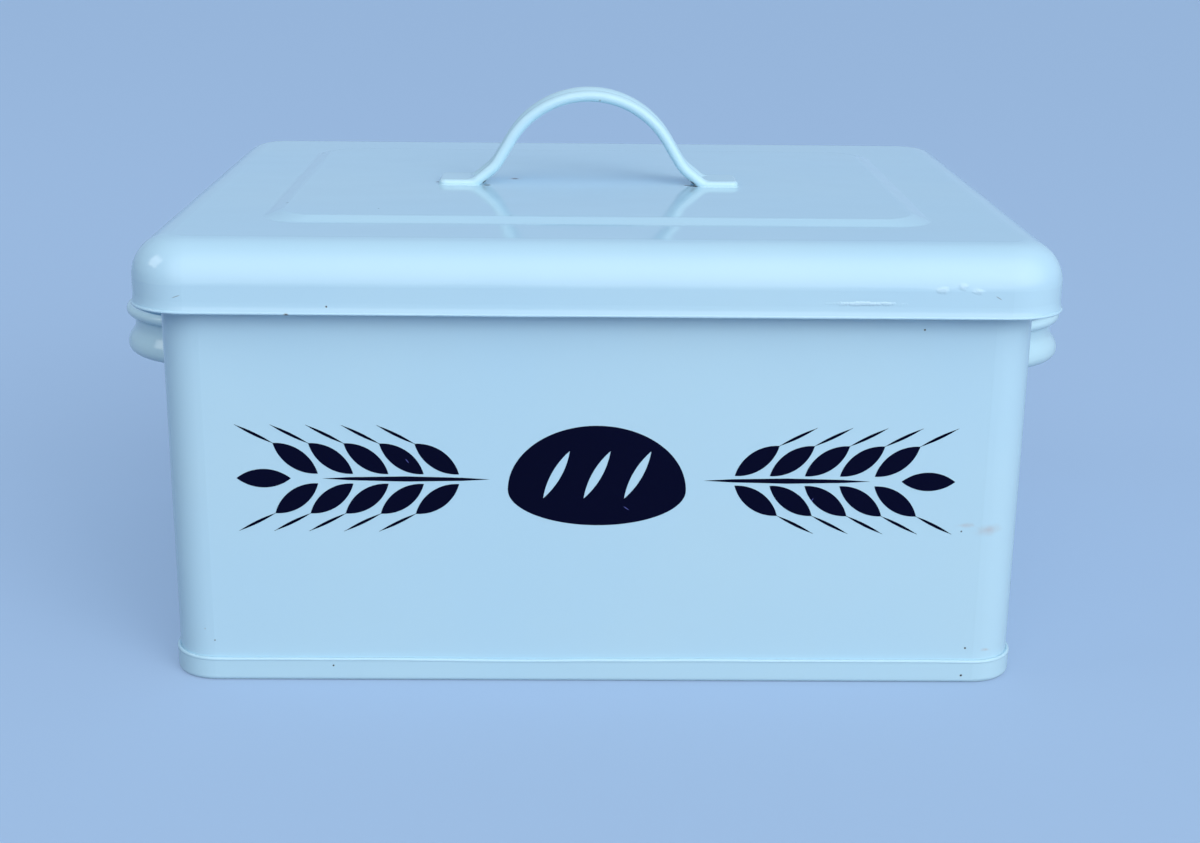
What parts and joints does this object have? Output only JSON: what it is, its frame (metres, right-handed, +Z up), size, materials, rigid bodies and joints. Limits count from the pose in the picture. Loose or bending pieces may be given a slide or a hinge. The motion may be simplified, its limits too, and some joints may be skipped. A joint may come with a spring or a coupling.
{
  "type": "bread box",
  "caption": "Rectangular enamelled steel bread box with rounded corners, a lift-off lid with a strap handle, and bowed strap handles on its side walls.",
  "frame": {"origin": "on the ground under the middle of the box, at the bottom centre of its bounding box", "axes": "+X to the right as seen from the printed front, along the longest side; +Y to the back; +Z up. The front faces -Y"},
  "size_m": [0.3984, 0.269, 0.211],
  "materials": {
    "enamel": "glossy vitreous enamel on steel",
    "handle_enamel": "glossy vitreous enamel on steel",
    "print_enamel": "glossy fired enamel print"
  },
  "bodies": {
    "box": {"body_shell": "enamel", "base_pan": "enamel", "side_handle_left": "handle_enamel", "side_handle_right": "handle_enamel"},
    "lid": {"lid_shell": "enamel", "lid_handle": "handle_enamel"}
  },
  "joints": [
    {"name": "lid_lift", "type": "slide", "parent": "box", "child": "lid", "axis": [0, 0, 1], "range_m": [0, 0.2]}
  ]
}
